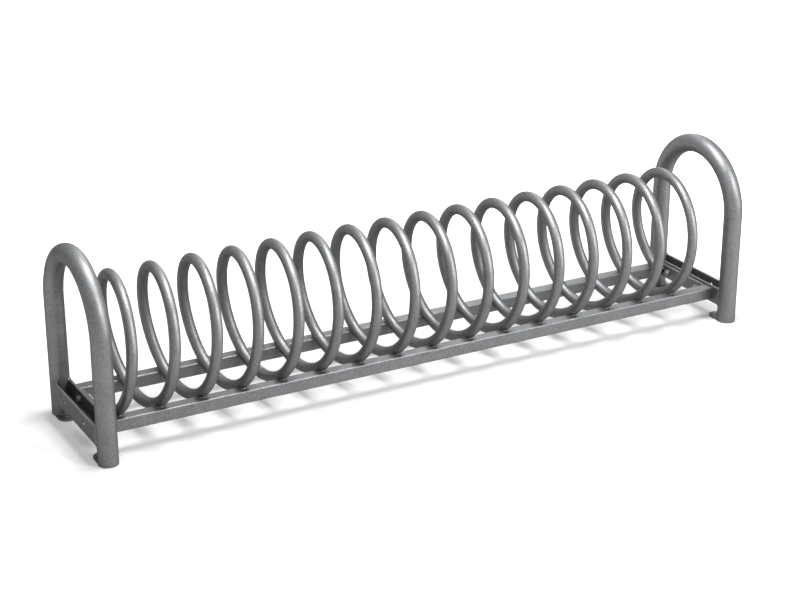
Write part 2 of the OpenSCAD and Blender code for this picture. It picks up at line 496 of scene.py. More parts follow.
class Bench:
    """Makes meshes, runs modifiers and node trees on them, and hands the pieces over to the frame."""

    SHARP_ANGLE = math.radians(25)
    ROUND_STEPS = 2
    FACE_WEIGHT = 100

    @staticmethod
    def link(name: str, data: ID | None) -> Object:
        """Puts a new object into the scene.

        Args:
            name: the object's name.
            data: what it holds.

        Returns:
            The object.
        """
        made = bpy.data.objects.new(name, data)
        bpy.context.scene.collection.objects.link(made)
        return made

    @classmethod
    def blank(cls, name: str) -> Object:
        """A mesh object with nothing in it yet, for a tree that makes all of its shape."""
        return cls.link(name, bpy.data.meshes.new(name))

    @classmethod
    def mesh(cls, name: str, build: Callable[[BMesh], None]) -> Object:
        """A mesh object.

        Args:
            name: the object's name.
            build: a function that fills an empty bmesh.

        Returns:
            The object, with its faces pointing outwards and shaded smooth.
        """
        data = bpy.data.meshes.new(name)
        work = bmesh.new()
        build(work)
        bmesh.ops.recalc_face_normals(work, faces=work.faces)
        for face in work.faces:
            face.smooth = True
        work.to_mesh(data)
        work.free()
        return cls.link(name, data)

    @classmethod
    def curve(cls, name: str, paths: Iterable[Sequence[Vector]], closed: bool) -> Object:
        """A curve object that holds one straight-sided path for each list of points.

        Args:
            name: the object's name.
            paths: the lists of points.
            closed: True if each path closes on itself.

        Returns:
            The object.
        """
        data = bpy.data.curves.new(name, "CURVE")
        data.dimensions = "3D"
        for path in paths:
            spline = data.splines.new("POLY")
            spline.points.add(len(path) - 1)
            for point, place in zip(spline.points, path):
                point.co = (*place, 1.0)
            spline.use_cyclic_u = closed
        return cls.link(name, data)

    @classmethod
    def bake(cls, source: Object) -> Object:
        """Turns an object with modifiers into a plain mesh object.

        Args:
            source: the object, which is used up.

        Returns:
            A mesh object of the same name, without empty material slots.
        """
        view = bpy.context.evaluated_depsgraph_get()
        data = bpy.data.meshes.new_from_object(source.evaluated_get(view), depsgraph=view)
        name = source.name
        bpy.data.objects.remove(source)
        data.name = name
        finishes = [finish for finish in data.materials if finish]
        if len(finishes) < len(data.materials):
            data.materials.clear()
            for finish in finishes:
                data.materials.append(finish)
            for polygon in data.polygons:
                polygon.material_index = 0
        return cls.link(name, data)

    @staticmethod
    def run(target: Object, tree: NodeTree, **values: Any) -> None:
        """Puts a geometry node tree on an object.

        Args:
            target: the object.
            tree: the tree.
            values: the tree's inputs by name, with underscores for spaces.
        """
        modifier = target.modifiers.new(tree.name, "NODES")
        modifier.node_group = tree
        known = {item.name: item.identifier for item in tree.interface.items_tree}
        for name, value in values.items():
            modifier[known[name.replace("_", " ")]] = value

    @classmethod
    def add_wall(cls, tube: Object, thickness: float, bore: Material) -> Object:
        """Gives the open skin of a tube its wall, on the inside.

        Args:
            tube: the tube's outer skin, with its coat.
            thickness: the wall's thickness.
            bore: the finish of the bore, bare steel darkened to near black as painted shade.

        Returns:
            The tube, as a plain mesh.
        """
        tube.data.materials.append(bore)
        wall = tube.modifiers.new("Wall", "SOLIDIFY")
        wall.thickness = thickness
        wall.offset = -1.0
        wall.use_even_offset = True
        wall.material_offset = 1
        return cls.bake(tube)

    @classmethod
    def round_edges(cls, target: Object, width: float) -> Object:
        """Rounds the sharp edges of an object.

        Args:
            target: the object, which is used up.
            width: the width of the rounding.

        Returns:
            The object as a plain mesh with even shading.
        """
        bevel = target.modifiers.new("Rounded edges", "BEVEL")
        bevel.width = width
        bevel.segments = cls.ROUND_STEPS
        bevel.limit_method = "ANGLE"
        bevel.angle_limit = cls.SHARP_ANGLE
        bevel.use_clamp_overlap = False
        return cls.even_shading(target)

    @classmethod
    def even_shading(cls, target: Object) -> Object:
        """Gives flat faces flat light and curved ones smooth light.

        Args:
            target: the object, which is used up.

        Returns:
            The object as a plain mesh.
        """
        baked = cls.bake(target)
        for polygon in baked.data.polygons:
            polygon.use_smooth = True
        baked.data.set_sharp_from_angle(angle=cls.SHARP_ANGLE)
        weighted = baked.modifiers.new("Even shading", "WEIGHTED_NORMAL")
        weighted.keep_sharp = True
        weighted.weight = cls.FACE_WEIGHT
        return cls.bake(baked)

    @classmethod
    def cut(cls, target: Object, cutters: Sequence[Object]) -> Object:
        """Takes the cutters' shapes out of an object.

        Args:
            target: the object, which is used up.
            cutters: closed meshes, which are used up too.

        Returns:
            The object as a plain mesh.
        """
        for cutter in cutters:
            boolean = target.modifiers.new(cutter.name, "BOOLEAN")
            boolean.operation = "DIFFERENCE"
            boolean.solver = "EXACT"
            boolean.object = cutter
        baked = cls.bake(target)
        for cutter in cutters:
            bpy.data.objects.remove(cutter)
        return baked

    @classmethod
    def rod(cls, place: Vector, axis: Vector, radius: float, length: float, sides: int) -> Object:
        """A closed round rod to cut with.

        Args:
            place: its middle.
            axis: its direction.
            radius: its radius.
            length: its length.
            sides: the number of its sides.

        Returns:
            The rod.
        """
        turn = axis.to_track_quat("Z", "Y").to_matrix().to_4x4()

        def build(work: BMesh) -> None:
            """Fills the rod's mesh."""
            bmesh.ops.create_cone(
                work, cap_ends=True, segments=sides, radius1=radius, radius2=radius,
                depth=length, matrix=Matrix.Translation(place) @ turn,
            )

        return cls.mesh("rod", build)

    @classmethod
    def prism(cls, name: str, outline: Outline, length: float, place: Matrix) -> Object:
        """A closed prism.

        Args:
            name: the object's name.
            outline: the corners of its section, in its own X and Y.
            length: how far it runs along its own Z.
            place: where its own frame is.

        Returns:
            The object.
        """

        def build(work: BMesh) -> None:
            """Fills the prism's mesh.

            Args:
                work: an empty mesh.
            """
            base = [work.verts.new(place @ Vector((x, y, 0.0))) for x, y in outline]
            top = [work.verts.new(place @ Vector((x, y, length))) for x, y in outline]
            work.faces.new(list(reversed(base)))
            work.faces.new(top)
            join_rings(work, base, top)

        return cls.mesh(name, build)

    @classmethod
    def turned(cls, name: str, solids: Sequence[Sequence[Ring]], sides: int, hollow: bool) -> Object:
        """Solids about the Z axis, as a lathe makes them.

        Args:
            name: the object's name.
            solids: the rings of each solid, along its skin.
            sides: the number of points on a ring.
            hollow: True where the last ring joins the first one, False where both are capped.

        Returns:
            The object.
        """

        def build(work: BMesh) -> None:
            """Fills the mesh of the turned solids.

            Args:
                work: an empty mesh.
            """
            turns = [FULL_TURN * k / sides for k in range(sides)]
            for rings in solids:
                rows = []
                for ring in rings:
                    points = [(turn, *ring(turn)) for turn in turns]
                    rows.append([
                        work.verts.new((radius * math.cos(turn), radius * math.sin(turn), height))
                        for turn, radius, height in points
                    ])
                if not hollow:
                    work.faces.new(list(reversed(rows[0])))
                    work.faces.new(rows[-1])
                for low, high in zip(rows, rows[1:] + rows[:1] if hollow else rows[1:]):
                    join_rings(work, low, high)

        return cls.mesh(name, build)

    @staticmethod
    def hand_over(piece: Object, slot: Slot, stands_for: Sequence[str] = ()) -> None:
        """Lets a piece ride on the frame.

        Args:
            piece: the finished piece, with its place in its mesh.
            slot: the record's slot that its finish comes from; not used.
            stands_for: the frame's nodes that it replaces.
        """
        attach(piece, "root")
        if stands_for:
            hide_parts(*stands_for)
        log.info("%s: %d faces", piece.name, len(piece.data.polygons))


class SurfaceGroups:
    """Shader node groups that more than one finish uses."""

    GRAIN_IN_HEIGHT = 0.35

    def __init__(self) -> None:
        """Builds each group once."""
        self.grain = self._grain()
        self.mottle = self._mottle()

    @staticmethod
    def _noise(wiring: Wiring, size: str, detail: float, roughness: float) -> NodeSocket:
        """Noise on the piece's own coordinates.

        Args:
            wiring: the group's wiring.
            size: the group's input that gives the size of a lump.
            detail: how many finer layers it has.
            roughness: how strong these are.

        Returns:
            The noise, whose values lie about NOISE_MIDDLE.
        """
        place = wiring.add("ShaderNodeTexCoord").outputs["Object"]
        scale = wiring.math("DIVIDE", 1.0, wiring.given(size))
        values = {"Vector": place, "Scale": scale, "Detail": detail, "Roughness": roughness}
        return wiring.take("ShaderNodeTexNoise", values)

    def _grain(self) -> NodeTree:
        """Fine grain: a salt-and-pepper tone, a shift of roughness, and the height of the skin.

        Returns:
            The group.
        """
        wiring = Wiring.group("Fine grain", Group.SHADER, [
            ("Grain Size", Socket.NUMBER, 0.001),
            ("Peel Size", Socket.NUMBER, 0.003),
            ("Contrast", Socket.NUMBER, 1.0),
            ("Roughness", Socket.NUMBER, 0.4),
            ("Roughness Shift", Socket.NUMBER, 0.1),
        ])
        given, math_of = wiring.given, wiring.math
        fine = self._noise(wiring, "Grain Size", detail=2.0, roughness=0.65)
        peel = self._noise(wiring, "Peel Size", detail=1.0, roughness=0.4)
        swing = math_of("SUBTRACT", fine, NOISE_MIDDLE)
        tone = math_of("ADD", math_of("MULTIPLY", swing, given("Contrast")), NOISE_MIDDLE)
        shift = math_of("MULTIPLY", swing, given("Roughness Shift"))
        grain_height = math_of("MULTIPLY", fine, self.GRAIN_IN_HEIGHT)
        return wiring.result([
            ("Tone", Socket.NUMBER, tone),
            ("Roughness", Socket.NUMBER, math_of("ADD", given("Roughness"), shift)),
            ("Height", Socket.NUMBER, math_of("ADD", grain_height, peel)),
        ])

    def _mottle(self) -> NodeTree:
        """Broad, faint clouds of tone, as an uneven coat or plating has.

        Returns:
            The group.
        """
        wiring = Wiring.group("Mottle", Group.SHADER, [
            ("Cloud Size", Socket.NUMBER, 0.05),
            ("Strength", Socket.NUMBER, 0.2),
        ])
        cloud = self._noise(wiring, "Cloud Size", detail=3.0, roughness=0.55)
        swing = wiring.math("SUBTRACT", cloud, NOISE_MIDDLE)
        shift = wiring.math("MULTIPLY", swing, wiring.given("Strength"))
        return wiring.result([("Shift", Socket.NUMBER, shift)])


@dataclass(frozen=True)
class MetalFinish:
    """A grained metallic finish: powder coat with metal flake in it, plating, or bare steel darkened as
    painted shade.
    """

    name: str
    dark: tuple[float, float, float]
    light: tuple[float, float, float]
    metallic: float
    edge_tint: float
    roughness: float
    roughness_shift: float
    grain_size: float
    grain_contrast: float
    peel_size: float
    bump_depth: float
    cloud_size: float
    cloud_strength: float

    # The colour sockets of a Mix node, which has others of the same names.
    MIX_FIRST, MIX_SECOND, MIX_RESULT = 6, 7, 2

    def material(self, groups: SurfaceGroups) -> Material:
        """Builds the finish.

        Args:
            groups: the shared shader groups.

        Returns:
            A material with its own values in each group.
        """
        made = bpy.data.materials.new(self.name)
        made.use_nodes = True
        wiring = Wiring(made.node_tree)
        grain = wiring.add("ShaderNodeGroup", node_tree=groups.grain)
        mottle = wiring.add("ShaderNodeGroup", node_tree=groups.mottle)
        for group, label, value in (
            (grain, "Grain Size", self.grain_size),
            (grain, "Peel Size", self.peel_size),
            (grain, "Contrast", self.grain_contrast),
            (grain, "Roughness", self.roughness),
            (grain, "Roughness Shift", self.roughness_shift),
            (mottle, "Cloud Size", self.cloud_size),
            (mottle, "Strength", self.cloud_strength),
        ):
            group.inputs[label].default_value = value
        tone = wiring.math("ADD", grain.outputs["Tone"], mottle.outputs["Shift"])
        colour = wiring.add("ShaderNodeMix", {"Factor": tone}, data_type="RGBA", clamp_factor=True)
        colour.inputs[self.MIX_FIRST].default_value = (*self.dark, 1.0)
        colour.inputs[self.MIX_SECOND].default_value = (*self.light, 1.0)
        relief = {"Height": grain.outputs["Height"], "Distance": self.bump_depth}
        bump = wiring.add("ShaderNodeBump", relief)
        shader = made.node_tree.nodes["Principled BSDF"]
        for label, value in (
            ("Base Color", colour.outputs[self.MIX_RESULT]),
            ("Roughness", grain.outputs["Roughness"]),
            ("Normal", bump.outputs["Normal"]),
            ("Metallic", self.metallic),
            ("Specular Tint", (self.edge_tint, self.edge_tint, self.edge_tint, 1.0)),
        ):
            wiring.feed(shader.inputs[label], value)
        return made


POWDER_COAT = MetalFinish(
    name="silver-grey powder coat",
    dark=(0.0755, 0.077, 0.0785),
    light=(0.202, 0.206, 0.2104),
    metallic=0.76,
    edge_tint=0.2,
    roughness=0.46,
    roughness_shift=0.14,
    grain_size=0.0023,
    grain_contrast=2.4,
    peel_size=0.006,
    bump_depth=0.0004,
    cloud_size=0.045,
    cloud_strength=0.4,
)

# Uncoated steel inside the tubes, with its colour and its reflection at the edges turned down to near
# black: painted shade for the dark inside of the open tube ends.
BORE_STEEL_PAINTED_SHADE = MetalFinish(
    name="bare steel of the bores",
    dark=(0.010, 0.0097, 0.0094),
    light=(0.045, 0.0435, 0.0420),
    metallic=0.5,
    edge_tint=0.2,
    roughness=0.75,
    roughness_shift=0.2,
    grain_size=0.001,
    grain_contrast=1.6,
    peel_size=0.004,
    bump_depth=0.0002,
    cloud_size=0.02,
    cloud_strength=0.5,
)

ZINC_PLATE = MetalFinish(
    name="dull zinc plate",
    dark=(0.15, 0.154, 0.16),
    light=(0.28, 0.285, 0.295),
    metallic=0.9,
    edge_tint=0.6,
    roughness=0.48,
    roughness_shift=0.12,
    grain_size=0.0006,
    grain_contrast=1.2,
    peel_size=0.002,
    bump_depth=0.00008,
    cloud_size=0.008,
    cloud_strength=0.5,
)


class Kit:
    """What the pieces are made with: the node trees and the finishes."""

    def __init__(self) -> None:
        """Builds the trees and the finishes."""
        groups = SurfaceGroups()
        self.trees = GeometryTrees()
        self.coat = POWDER_COAT.material(groups)
        self.zinc = ZINC_PLATE.material(groups)
        # The bores' finish is painted shade: bare steel darkened to near black.
        self.bore = BORE_STEEL_PAINTED_SHADE.material(groups)


@dataclass
class Coil:
    """The wound tube. Its angle is 0 at the first crest, and grows over the top towards the back."""

    crest_count: int = 16
    pitch: float = 0.1297
    tube_radius: float = 0.01685
    wall: float = 0.0026
    lead_in: float = math.radians(150)
    run_out: float = math.radians(158)
    start_clear: float = 0.0063
    sections: int = 4
    rings_per_turn: int = 80
    sides: int = 28
    end_round: float = 0.0004
    radius: float = field(init=False)
    axis_height: float = field(init=False)
    first_crest_x: float = field(init=False)

    def __post_init__(self) -> None:
        """Reads the coil's place from the frame."""
        _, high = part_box("coil_section_2")
        _, bar_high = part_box("left_end_bar")
        outer = high.y
        self.radius = outer - self.tube_radius
        self.axis_height = high.z - outer
        start_x = bar_high.x + self.start_clear + self.tube_radius
        self.first_crest_x = start_x + self.pitch * self.lead_in / FULL_TURN

    def place(self, angle: float) -> Vector:
        """The point of the tube's centreline at an angle."""
        return Vector((
            self.first_crest_x + self.pitch * angle / FULL_TURN,
            self.radius * math.sin(angle),
            self.axis_height + self.radius * math.cos(angle),
        ))

    def direction(self, angle: float) -> Vector:
        """The direction of the tube's centreline at an angle."""
        across, rise = self.radius * math.cos(angle), -self.radius * math.sin(angle)
        return Vector((self.pitch / FULL_TURN, across, rise)).normalized()

    def end_angle(self) -> float:
        """The angle at which the tube ends."""
        return (self.crest_count - 1) * FULL_TURN + self.run_out

    def joint_angles(self) -> list[float]:
        """The angles at which the tube's lengths are butt welded, under a turn."""
        turns = [round(k * self.crest_count / self.sections) - 1 for k in range(1, self.sections)]
        return [turn * FULL_TURN + math.pi for turn in turns]

    def around(self, angle: float, radius: float, steps: int) -> list[Vector]:
        """Points of a ring about the centreline.

        Args:
            angle: where the ring is along the coil.
            radius: the ring's radius.
            steps: the number of its points.

        Returns:
            The points.
        """
        centre = self.place(angle)
        outward = Vector((0.0, math.sin(angle), math.cos(angle)))
        sideways = self.direction(angle).cross(outward)
        turns = [FULL_TURN * k / steps for k in range(steps)]
        return [
            centre + radius * (math.cos(turn) * outward + math.sin(turn) * sideways) for turn in turns
        ]

    def build(self, kit: Kit) -> None:
        """Makes the tube with its wall, and lets it stand for the coil's sections.

        Args:
            kit: the node trees and the finishes.
        """
        swing = self.end_angle() + self.lead_in
        tube = Bench.blank("coil_tube")
        Bench.run(
            tube, kit.trees.coil_tube, First_Crest_X=self.first_crest_x, Pitch=self.pitch,
            Coil_Radius=self.radius, Axis_Height=self.axis_height, Start_Angle=-self.lead_in,
            End_Angle=self.end_angle(), Rings=round(self.rings_per_turn * swing / FULL_TURN) + 1,
            Tube_Radius=self.tube_radius, Sides=self.sides, Finish=kit.coat,
        )
        tube = Bench.add_wall(Bench.bake(tube), self.wall, kit.bore)
        tube = Bench.round_edges(tube, self.end_round)
        Bench.hand_over(tube, Slot.COAT, [f"coil_section_{k}" for k in range(1, self.sections + 1)])


@dataclass
class GroundRail:
    """A square rail with a notch for each turn of the coil."""

    side: Side
    coil: Coil
    wall: float = 0.003
    corner_radius: float = 0.004
    corner_steps: int = 8
    notch_clear: float = 0.0004
    # How many radii of the coil's tube a notch cutter is long.
    cutter_reach: float = 6.0
    # A seam is found on this many lines along the tube's skin, each tried at even steps both ways.
    seam_lines: int = 40
    seam_reach: float = 0.05
    seam_tries: int = 200
    low: Vector = field(init=False)
    high: Vector = field(init=False)
    centre: Vector = field(init=False)
    half_width: float = field(init=False)
    half_height: float = field(init=False)
    inner_y: float = field(init=False)

    def __post_init__(self) -> None:
        """Reads the rail's place from the frame."""
        self.low, self.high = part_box(f"{self.side.label}_rail")
        self.centre = (self.low + self.high) / 2
        self.half_width = (self.high.y - self.low.y) / 2
        self.half_height = (self.high.z - self.low.z) / 2
        self.inner_y = self.low.y if self.side is Side.BACK else self.high.y

    def notch_angle(self) -> float:
        """The middle of the first notch.

        Returns:
            The coil's angle there.
        """
        outer = self.coil.radius + self.coil.tube_radius
        reach = math.sqrt(outer**2 - (self.coil.axis_height - self.high.z) ** 2)
        middle = (math.asin(reach / outer) + math.asin(abs(self.inner_y) / outer)) / 2
        return self.side.value * (math.pi - middle)

    def holds(self, point: Vector) -> bool:
        """Tells whether a point is inside the rail's outer skin.

        Args:
            point: the point, at any X.

        Returns:
            True where it is inside.
        """
        across = abs(point.y - self.centre.y) - (self.half_width - self.corner_radius)
        up = abs(point.z - self.centre.z) - (self.half_height - self.corner_radius)
        return math.hypot(max(across, 0.0), max(up, 0.0)) < self.corner_radius

    def seam(self) -> list[Vector]:
        """The closed line along which the first turn's tube meets the rail.

        Returns:
            The points where lines along the tube's skin enter the rail, then those where they leave it.
        """
        angle = self.notch_angle()
        direction = self.coil.direction(angle)
        shifts = [self.seam_reach * (2 * k / self.seam_tries - 1) for k in range(self.seam_tries + 1)]
        entries, exits = [], []
        for start in self.coil.around(angle, self.coil.tube_radius, self.seam_lines):
            inside = [shift for shift in shifts if self.holds(start + shift * direction)]
            if inside:
                entries.append(start + inside[0] * direction)
                exits.append(start + inside[-1] * direction)
        split = max(range(len(entries)), key=lambda k: (entries[k] - entries[k - 1]).length)
        entries = entries[split:] + entries[:split]
        exits = exits[split:] + exits[:split]
        return entries + list(reversed(exits))

    def fill(self, work: BMesh) -> None:
        """Fills the mesh of the plain square tube.

        Args:
            work: an empty mesh.
        """
        loops = []
        for x in (self.low.x, self.high.x):
            for inset in (0.0, self.wall):
                outline = rounded_box(
                    self.half_width - inset, self.half_height - inset, self.corner_radius - inset,
                    self.corner_steps,
                )
                places = [(x, self.centre.y + y, self.centre.z + z) for y, z in outline]
                loops.append([work.verts.new(place) for place in places])
        near_out, near_in, far_out, far_in = loops
        join_rings(work, near_out, far_out)
        join_rings(work, far_in, near_in)
        join_rings(work, near_in, near_out)
        join_rings(work, far_out, far_in)

    def build(self, kit: Kit) -> None:
        """Makes the rail as a square tube with round corners, and cuts its notches.

        Args:
            kit: the node trees and the finishes.
        """
        rail = Bench.mesh(f"{self.side.label}_ground_rail", self.fill)
        angle = self.notch_angle()
        turn = self.coil.direction(angle).to_track_quat("Z", "Y")
        Bench.run(
            rail, kit.trees.notched_rail, Cutter_Radius=self.coil.tube_radius + self.notch_clear,
            Cutter_Length=self.cutter_reach * self.coil.tube_radius, Cutter_Turn=turn.to_euler(),
            First_Notch=self.coil.place(angle), Step=(self.coil.pitch, 0.0, 0.0),
            Notches=self.coil.crest_count, Finish=kit.coat,
        )
        Bench.hand_over(Bench.even_shading(rail), Slot.COAT, [f"{self.side.label}_rail"])


@dataclass
class EndFrame:
    """An arched hoop on two legs, with a channel between them and a foot lug inside each leg."""

    end: End
    hoop_wall: float = 0.0029
    channel_flange: float = 0.008
    channel_web: float = 0.006
    channel_root: float = 0.005
    channel_toe: float = 0.0016
    # What is coped to a leg keeps this gap, and its weld seams this distance from its outer faces.
    weld_gap: float = 0.0002
    seam_inset: float = 0.00152
    bolt_hole_radius: float = 0.007
    anchor_hole_radius: float = 0.007
    edge_round: float = 0.0006
    # How many radii of the leg tube a cutter is long.
    cutter_reach: float = 4.0
    arch_steps: int = 72
    leg_steps: int = 6
    sides: int = 56
    cope_sides: int = 64
    hole_sides: int = 40
    lobe_steps: int = 40
    seam_steps: int = 24
    heel_steps: int = 4
    toe_steps: int = 6
    root_steps: int = 8
    x: float = field(init=False)
    tube_radius: float = field(init=False)
    leg_y: float = field(init=False)
    bend_z: float = field(init=False)
    channel_low: Vector = field(init=False)
    channel_high: Vector = field(init=False)
    bolt_y: float = field(init=False)
    bolt_z: float = field(init=False)

    def __post_init__(self) -> None:
        """Reads the places of the hoop, the channel and the bolts from the frame."""
        low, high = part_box(f"{self.end.label}_hoop")
        self.x = (low.x + high.x) / 2
        self.tube_radius = (high.x - low.x) / 2
        self.leg_y = high.y - self.tube_radius
        self.bend_z = high.z - self.tube_radius - self.leg_y
        self.channel_low, self.channel_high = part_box(f"{self.end.label}_channel")
        washer_low, washer_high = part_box(f"{self.end.label}_washers")
        washer_radius = (washer_high.z - washer_low.z) / 2
        self.bolt_y = washer_high.y - washer_radius
        self.bolt_z = (washer_low.z + washer_high.z) / 2

    def hoop_path(self) -> list[Vector]:
        """The hoop's centreline.

        Returns:
            Its points, from the front foot over the top to the back foot.
        """
        arch = arc((0.0, self.bend_z), self.leg_y, 180, 0, self.arch_steps)
        rise = [self.bend_z * k / self.leg_steps for k in range(self.leg_steps)]
        front = [Vector((self.x, -self.leg_y, z)) for z in rise]
        back = [Vector((self.x, self.leg_y, z)) for z in reversed(rise)]
        return front + [Vector((self.x, y, z)) for y, z in arch] + back

    def channel_outline(self) -> Outline:
        """The channel's section about its own middle.

        Returns:
            The outline, with its web at the bottom, and round heels, toes and roots.
        """
        half = (self.channel_high.x - self.channel_low.x) / 2
        height = self.channel_high.z - self.channel_low.z
        slot, web = half - self.channel_flange, self.channel_web
        toe, root = self.channel_toe, self.channel_root
        heel = toe / 2
        return [
            *arc((-half + heel, heel), heel, 180, 270, self.heel_steps),
            *arc((half - heel, heel), heel, 270, 360, self.heel_steps),
            *arc((half - heel, height - heel), heel, 0, 90, self.heel_steps),
            *arc((slot + toe, height - toe), toe, 90, 180, self.toe_steps),
            *arc((slot - root, web + root), root, 0, -90, self.root_steps),
            *arc((-slot + root, web + root), root, 270, 180, self.root_steps),
            *arc((-slot - toe, height - toe), toe, 0, 90, self.toe_steps),
            *arc((-half + heel, height - heel), heel, 90, 180, self.heel_steps),
        ]

    def cutter(self, place: Vector, axis: Vector, radius: float, sides: int) -> Object:
        """A rod to cut this frame's pieces with."""
        return Bench.rod(place, axis, radius, self.cutter_reach * self.tube_radius, sides)

    def leg_cutter(self, side: Side, height: float) -> Object:
        """A rod that copes a piece to the leg on one side, about a height."""
        place = Vector((self.x, side.value * self.leg_y, height))
        return self.cutter(place, UP, self.tube_radius + self.weld_gap, self.cope_sides)

    def bolt_cutter(self, side: Side, height: float) -> Object:
        """A rod that drills the bolt hole on one side, at a height."""
        place = Vector((self.x, side.value * self.bolt_y, height))
        return self.cutter(place, ALONG, self.bolt_hole_radius, self.hole_sides)

    def build_hoop(self, kit: Kit) -> None:
        """Makes the bent tube of the hoop.

        Args:
            kit: the node trees and the finishes.
        """
        hoop = Bench.curve(f"{self.end.label}_arched_tube", [self.hoop_path()], closed=False)
        Bench.run(
            hoop, kit.trees.swept_tube, Tube_Radius=self.tube_radius, Sides=self.sides, Finish=kit.coat
        )
        hoop = Bench.add_wall(Bench.bake(hoop), self.hoop_wall, kit.bore)
        hoop = Bench.round_edges(hoop, self.edge_round)
        Bench.hand_over(hoop, Slot.COAT, [f"{self.end.label}_hoop"])

    def finish_plate(self, plate: Object, cutters: Sequence[Object], node: str, coat: Material) -> None:
        """Cuts a plain solid, rounds its edges, coats it and hands it over.

        Args:
            plate: the plain solid.
            cutters: what is taken out of it.
            node: the frame's node that it replaces.
            coat: the finish.
        """
        plate = Bench.round_edges(Bench.cut(plate, cutters), self.edge_round)
        plate.data.materials.append(coat)
        Bench.hand_over(plate, Slot.COAT, [node])

    def build_channel(self, coat: Material) -> None:
        """Makes the channel, coped to the legs and drilled for the joint bolts.

        Args:
            coat: the finish.
        """
        place = towards_front(self.x, self.leg_y, self.channel_low.z)
        name = f"{self.end.label}_end_channel"
        channel = Bench.prism(name, self.channel_outline(), 2 * self.leg_y, place)
        cutters = []
        for side in Side:
            cutters.append(self.leg_cutter(side, self.channel_high.z))
            cutters.append(self.bolt_cutter(side, self.bolt_z))
        self.finish_plate(channel, cutters, f"{self.end.label}_channel", coat)

    def build_lug(self, side: Side, coat: Material) -> None:
        """Makes the foot lug of one leg, with its anchor hole.

        Args:
            side: the leg's side.
            coat: the finish.
        """
        node = f"{self.end.label}_{side.label}_foot"
        low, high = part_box(node)
        half = (high.x - low.x) / 2
        hole_y = low.y + half if side is Side.BACK else high.y - half
        lobe = [(x, abs(hole_y) - y) for x, y in arc((0.0, 0.0), half, 0, 180, self.lobe_steps)]
        outline = [(x, side.value * y) for x, y in [(half, self.leg_y), *lobe, (-half, self.leg_y)]]
        place = Matrix.Translation((self.x, 0.0, low.z))
        lug = Bench.prism(f"{node}_lug", outline, high.z - low.z, place)
        hole = self.cutter(Vector((self.x, hole_y, 0.0)), UP, self.anchor_hole_radius, self.hole_sides)
        self.finish_plate(lug, [self.leg_cutter(side, 0.0), hole], node, coat)

    def channel_seams(self) -> list[list[Vector]]:
        """The closed lines along which the channel's ends meet the legs.

        Returns:
            The lines, a little inside the channel's outer faces.
        """
        half = (self.channel_high.x - self.channel_low.x) / 2
        squeeze = (half - self.seam_inset) / half
        outline = [(x * squeeze, self.channel_low.z + z) for x, z in self.channel_outline()]
        reach = [self.leg_y - math.sqrt(self.tube_radius**2 - x**2) for x, _ in outline]
        return [
            [Vector((self.x + x, side.value * y, z)) for (x, z), y in zip(outline, reach)]
            for side in Side
        ]

    def lug_seams(self) -> list[list[Vector]]:
        """The arcs along which the foot lugs meet the legs.

        Returns:
            The arcs, which stop short of the lugs' outer faces.
        """
        low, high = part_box(f"{self.end.label}_front_foot")
        reach = (high.x - low.x) / 2 - self.seam_inset
        spread = math.degrees(math.asin(reach / self.tube_radius))
        seams = []
        for side in Side:
            middle = -90 * side.value
            points = arc((0.0, 0.0), self.tube_radius, middle - spread, middle + spread, self.seam_steps)
            seams.append([Vector((self.x + x, side.value * self.leg_y + y, high.z)) for x, y in points])
        return seams

    def build(self, kit: Kit) -> None:
        """Makes the whole end frame.

        Args:
            kit: the node trees and the finishes.
        """
        self.build_hoop(kit)
        self.build_channel(kit.coat)
        for side in Side:
            self.build_lug(side, kit.coat)


